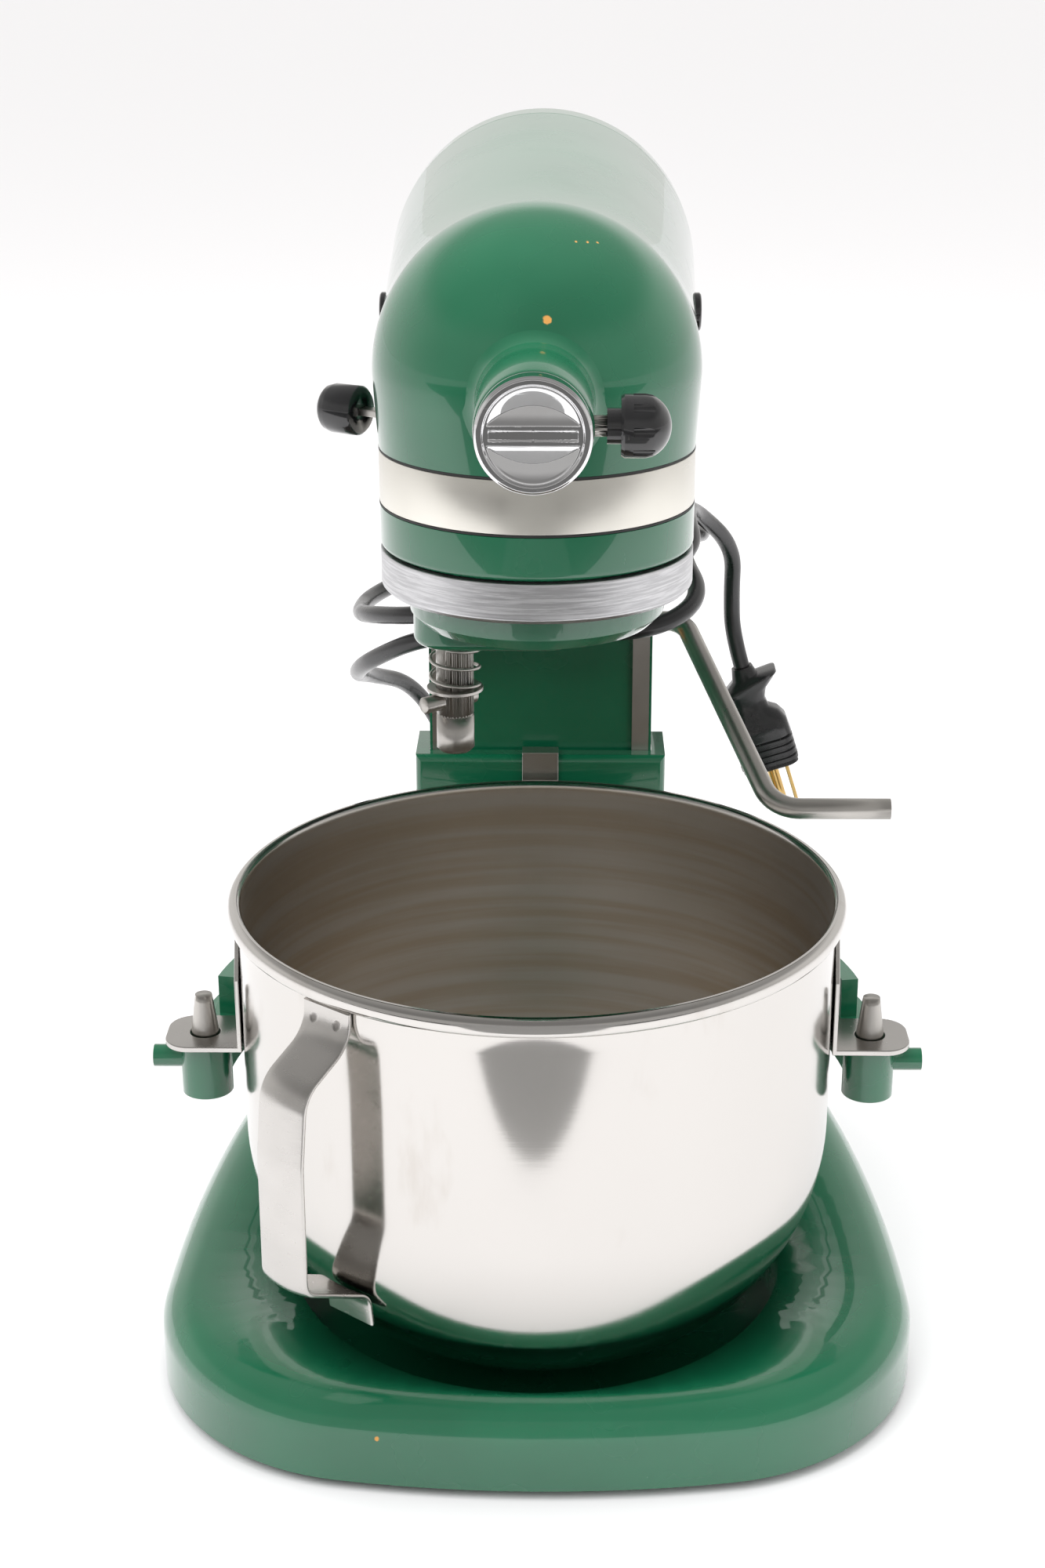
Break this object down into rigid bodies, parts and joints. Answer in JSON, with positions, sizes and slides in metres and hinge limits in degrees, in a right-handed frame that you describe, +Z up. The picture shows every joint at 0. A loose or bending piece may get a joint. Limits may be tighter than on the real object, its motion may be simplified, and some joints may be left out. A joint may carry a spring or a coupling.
{
  "type": "stand mixer",
  "caption": "Bowl-lift stand mixer with bullet head, planetary beater drive, lever-raised yoke, steel bowl on two pins, front attachment hub, side speed knob and cord wound round the column.",
  "frame": {"origin": "middle of the footprint, on the surface the feet stand on", "axes": "+Z up, +Y to the back of the mixer, +X to the right of someone who faces the attachment hub; the mixing axis is at y = -0.0756"},
  "size_m": [0.272, 0.3648, 0.4186],
  "materials": {
    "enamel": "gloss",
    "bowl_steel": "polished",
    "trim_aluminium": "satin",
    "ring_aluminium": "brushed",
    "bright_chrome": "mirror",
    "bare_steel": "satin",
    "gear_steel": "machined",
    "zinc_steel": "plated",
    "black_plastic": "gloss",
    "black_rubber": "matte",
    "cord_black": "satin",
    "plug_brass": "bright",
    "bronze": "sintered",
    "laminations": "varnished",
    "copper": "varnished wire",
    "phenolic": "matte",
    "carbon": "matte"
  },
  "bodies": {
    "root": {"base": "enamel", "base_feet": "black_rubber", "column_bolts": "zinc_steel", "column": "enamel", "lever_bushes": "bronze", "gear_case": "enamel", "centre_bush": "bronze", "trim_band": "trim_aluminium", "motor_housing": "enamel", "hub_sleeve": "enamel", "hub_bush": "bronze", "end_cover": "enamel", "end_cover_screw": "zinc_steel", "ring_gear": "gear_steel", "worm_bracket": "zinc_steel", "bearing_plate": "zinc_steel", "armature_bearings": "gear_steel", "field_core": "laminations", "field_coils": "copper", "brush_holders": "phenolic", "carbon_brushes": "carbon", "brush_caps": "black_plastic", "strain_relief": "cord_black", "power_cord": "cord_black", "plug_body": "cord_black", "plug_blades": "plug_brass"},
    "yoke": {"yoke": "enamel", "bowl_pins": "bare_steel", "bowl_latch": "bare_steel", "lift_link": "gear_steel"},
    "bowl": {"bowl": "bowl_steel", "bowl_handle": "bowl_steel", "bowl_ears": "bowl_steel", "bowl_tab": "bowl_steel"},
    "lift_lever": {"lift_lever": "bare_steel"},
    "planetary": {"planetary_carrier": "enamel", "drip_ring": "ring_aluminium", "centre_shaft": "gear_steel", "centre_gear": "gear_steel", "hub_drive_gear": "gear_steel", "beater_bearings": "gear_steel"},
    "beater": {"beater_shaft": "bare_steel", "beater_pinion": "gear_steel", "beater_pin": "bare_steel", "beater_washer": "bare_steel", "beater_spring": "bare_steel"},
    "idler": {"idler_pinion": "gear_steel", "worm_wheel": "bronze"},
    "motor": {"armature_shaft": "gear_steel", "worm": "gear_steel", "armature_core": "laminations", "commutator": "copper", "cooling_fan": "phenolic"},
    "hub_drive": {"hub_shaft": "gear_steel", "hub_pinion": "gear_steel"},
    "hub_cap": {"hub_cap": "bright_chrome"},
    "hub_stud": {"hub_stud": "bare_steel"},
    "hub_knob": {"hub_knob": "black_plastic"},
    "speed_lever": {"speed_lever": "bare_steel", "speed_knob": "black_plastic"}
  },
  "joints": [
    {"name": "lift_lever_turn", "type": "hinge", "parent": "root", "child": "lift_lever", "pos_m": [0, 0.0874, 0.2255], "axis": [-1, 0, 0], "range_deg": [0, 120]},
    {"name": "yoke_slide", "type": "slide", "parent": "root", "child": "yoke", "axis": [0, 0, 1], "range_m": [0, 0.03]},
    {"name": "bowl_lift_off", "type": "slide", "parent": "yoke", "child": "bowl", "axis": [0, 0, 1], "range_m": [0, 0.018]},
    {"name": "planetary_spin", "type": "hinge", "parent": "root", "child": "planetary", "pos_m": [0, -0.0756, 0.28], "axis": [0, 0, 1], "continuous": true},
    {"name": "beater_spin", "type": "hinge", "parent": "planetary", "child": "beater", "pos_m": [-0.0275, -0.0756, 0.25], "axis": [0, 0, 1], "continuous": true},
    {"name": "idler_spin", "type": "hinge", "parent": "root", "child": "idler", "pos_m": [0.022, -0.03115, 0.34], "axis": [0, 0, 1], "continuous": true},
    {"name": "motor_spin", "type": "hinge", "parent": "root", "child": "motor", "pos_m": [0, 0.05, 0.358], "axis": [0, 1, 0], "continuous": true},
    {"name": "hub_drive_spin", "type": "hinge", "parent": "root", "child": "hub_drive", "pos_m": [0, -0.12, 0.358], "axis": [0, 1, 0], "continuous": true},
    {"name": "hub_cap_pull", "type": "slide", "parent": "root", "child": "hub_cap", "axis": [0, -1, 0], "range_m": [0, 0.02]},
    {"name": "hub_stud_draw", "type": "slide", "parent": "root", "child": "hub_stud", "axis": [1, 0, 0], "range_m": [0, 0.0025]},
    {"name": "hub_knob_turn", "type": "hinge", "parent": "hub_stud", "child": "hub_knob", "pos_m": [0.03, -0.1606, 0.358], "axis": [1, 0, 0], "range_deg": [0, 720]},
    {"name": "speed_lever_swing", "type": "hinge", "parent": "root", "child": "speed_lever", "pos_m": [-0.036, -0.0546, 0.3375], "axis": [0, 0, 1], "range_deg": [0, 38]}
  ],
  "couplings": [
    {"joint": "yoke_slide", "follows": "lift_lever_turn", "m_per_rad": 0.014324},
    {"joint": "beater_spin", "follows": "planetary_spin", "ratio": -2.9412},
    {"joint": "idler_spin", "follows": "planetary_spin", "ratio": -2.1},
    {"joint": "motor_spin", "follows": "planetary_spin", "ratio": -42},
    {"joint": "hub_drive_spin", "follows": "planetary_spin", "ratio": -1.4167},
    {"joint": "hub_stud_draw", "follows": "hub_knob_turn", "m_per_rad": 0.00019894}
  ]
}
